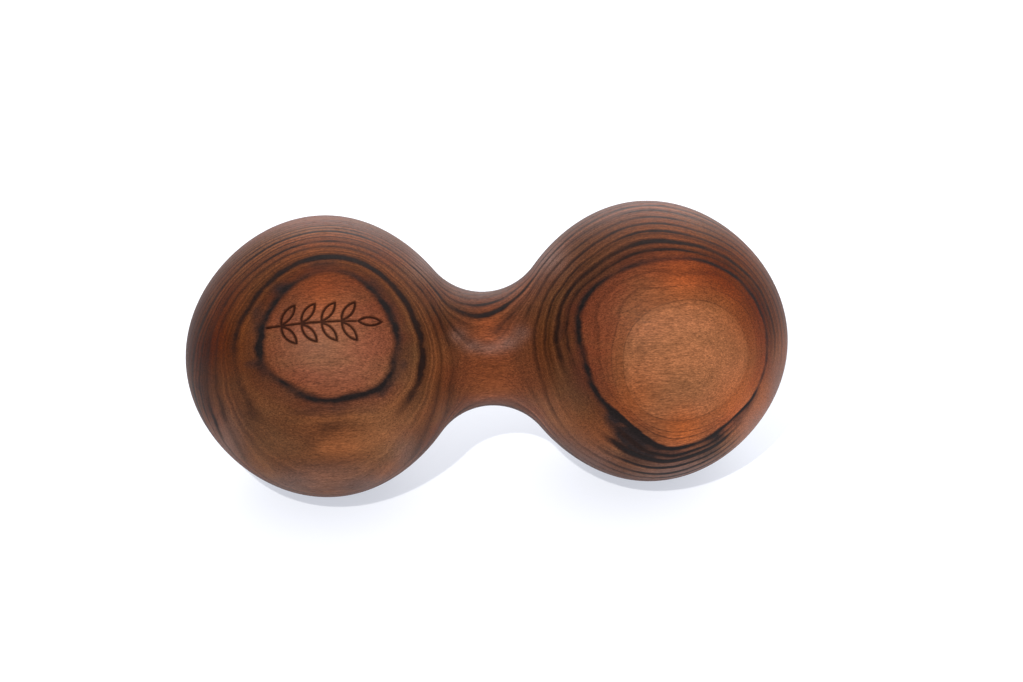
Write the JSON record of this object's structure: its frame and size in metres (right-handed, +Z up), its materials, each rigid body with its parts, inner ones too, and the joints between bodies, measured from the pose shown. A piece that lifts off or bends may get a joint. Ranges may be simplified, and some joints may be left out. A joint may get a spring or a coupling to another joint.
{
  "type": "wooden double-ball massage roller",
  "caption": "Hand-held double-ball massage roller turned from a single piece of walnut, with a slim waist between the balls and a small engraved leaf sprig.",
  "frame": {"origin": "On the surface that the roller lies on, under the middle of its length and its long axis.", "axes": "+X along the roller's long axis, from the engraved ball to the plain ball; +Z up, away from the surface it lies on; +Y away from the side that the engraving faces."},
  "size_m": [0.15, 0.07, 0.0699],
  "materials": {
    "walnut": "oiled satin"
  },
  "bodies": {
    "root": {"turned_body": "walnut"}
  },
  "joints": []
}
